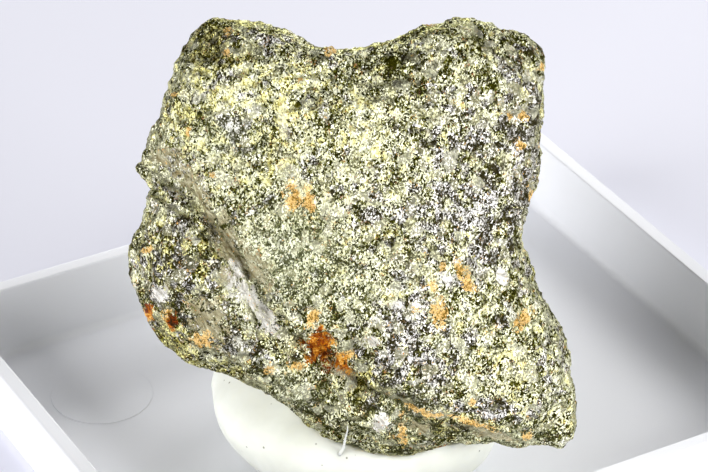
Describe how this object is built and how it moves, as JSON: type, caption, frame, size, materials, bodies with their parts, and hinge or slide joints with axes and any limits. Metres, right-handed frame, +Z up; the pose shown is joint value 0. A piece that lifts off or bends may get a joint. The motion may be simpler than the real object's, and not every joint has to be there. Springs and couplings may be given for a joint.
{
  "type": "chalcopyrite specimen in a display tray",
  "caption": "Hand specimen of granular chalcopyrite ore, held up by mineral putty in a shallow white display tray.",
  "frame": {"origin": "centre of the tray's flat underside", "axes": "+Z up from the underside, X along the tray's long side, Y along its short side; the stone's broad face looks towards -X and -Y"},
  "size_m": [0.083, 0.0684, 0.0583],
  "materials": {
    "white_polystyrene": "moulded, semi-gloss",
    "mineral_putty": "hand-pressed, matte",
    "chalcopyrite_ore": "broken, granular, metallic glitter"
  },
  "bodies": {
    "root": {"display_tray": "white_polystyrene", "putty": "mineral_putty", "chalcopyrite": "chalcopyrite_ore"}
  },
  "joints": []
}
